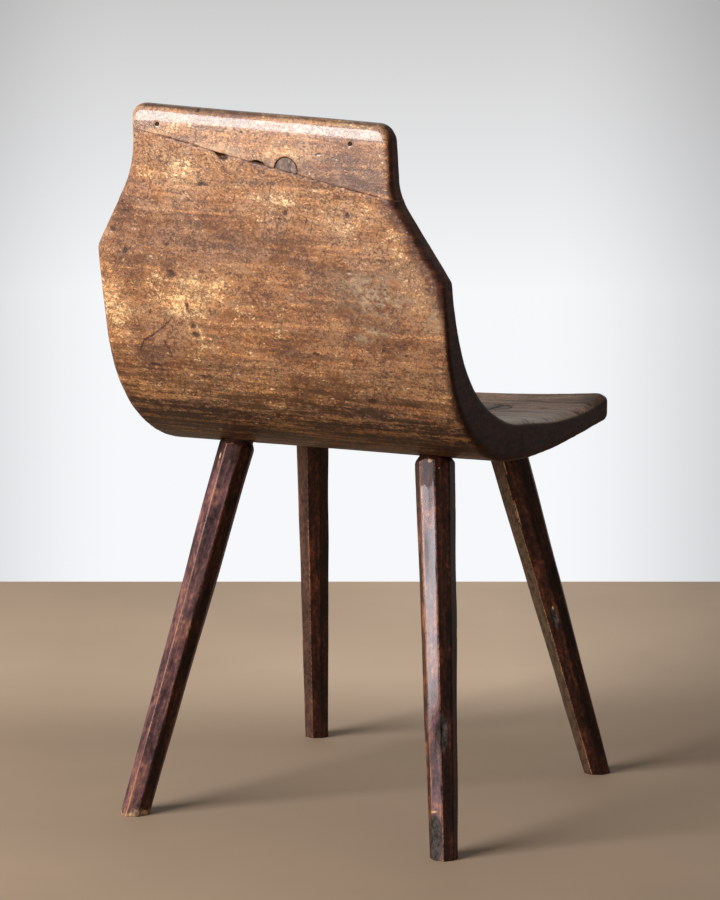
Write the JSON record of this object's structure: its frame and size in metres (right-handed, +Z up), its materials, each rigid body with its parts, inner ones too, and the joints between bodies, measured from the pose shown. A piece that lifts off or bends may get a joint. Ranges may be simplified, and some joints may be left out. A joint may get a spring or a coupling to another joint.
{
  "type": "staked chair",
  "caption": "Primitive staked chair: seat and curved back hewn in one piece, a board grafted on top of the back, faceted legs wedged through the seat.",
  "frame": {"origin": "on the floor, at the middle of the chair's outline seen from above", "axes": "+X to the sitter's left, +Y to the back of the chair, +Z up"},
  "size_m": [0.4042, 0.4542, 0.7647],
  "materials": {
    "hewn_wood": "worn wax polish",
    "leg_wood": "worn dark polish",
    "nail_iron": "dark oxidised"
  },
  "bodies": {
    "root": {"seat_back_shell": "hewn_wood", "crest_board": "hewn_wood", "hole_plug": "hewn_wood", "crest_dowel_left": "hewn_wood", "crest_dowel_right": "hewn_wood", "crest_nail_left": "nail_iron", "crest_nail_right": "nail_iron", "leg_front_left": "leg_wood", "leg_front_right": "leg_wood", "leg_rear_left": "leg_wood", "leg_rear_right": "leg_wood", "tenon_wedge_front_left": "leg_wood", "tenon_wedge_front_right": "leg_wood", "tenon_wedge_rear_left": "leg_wood", "tenon_wedge_rear_right": "leg_wood"}
  },
  "joints": []
}
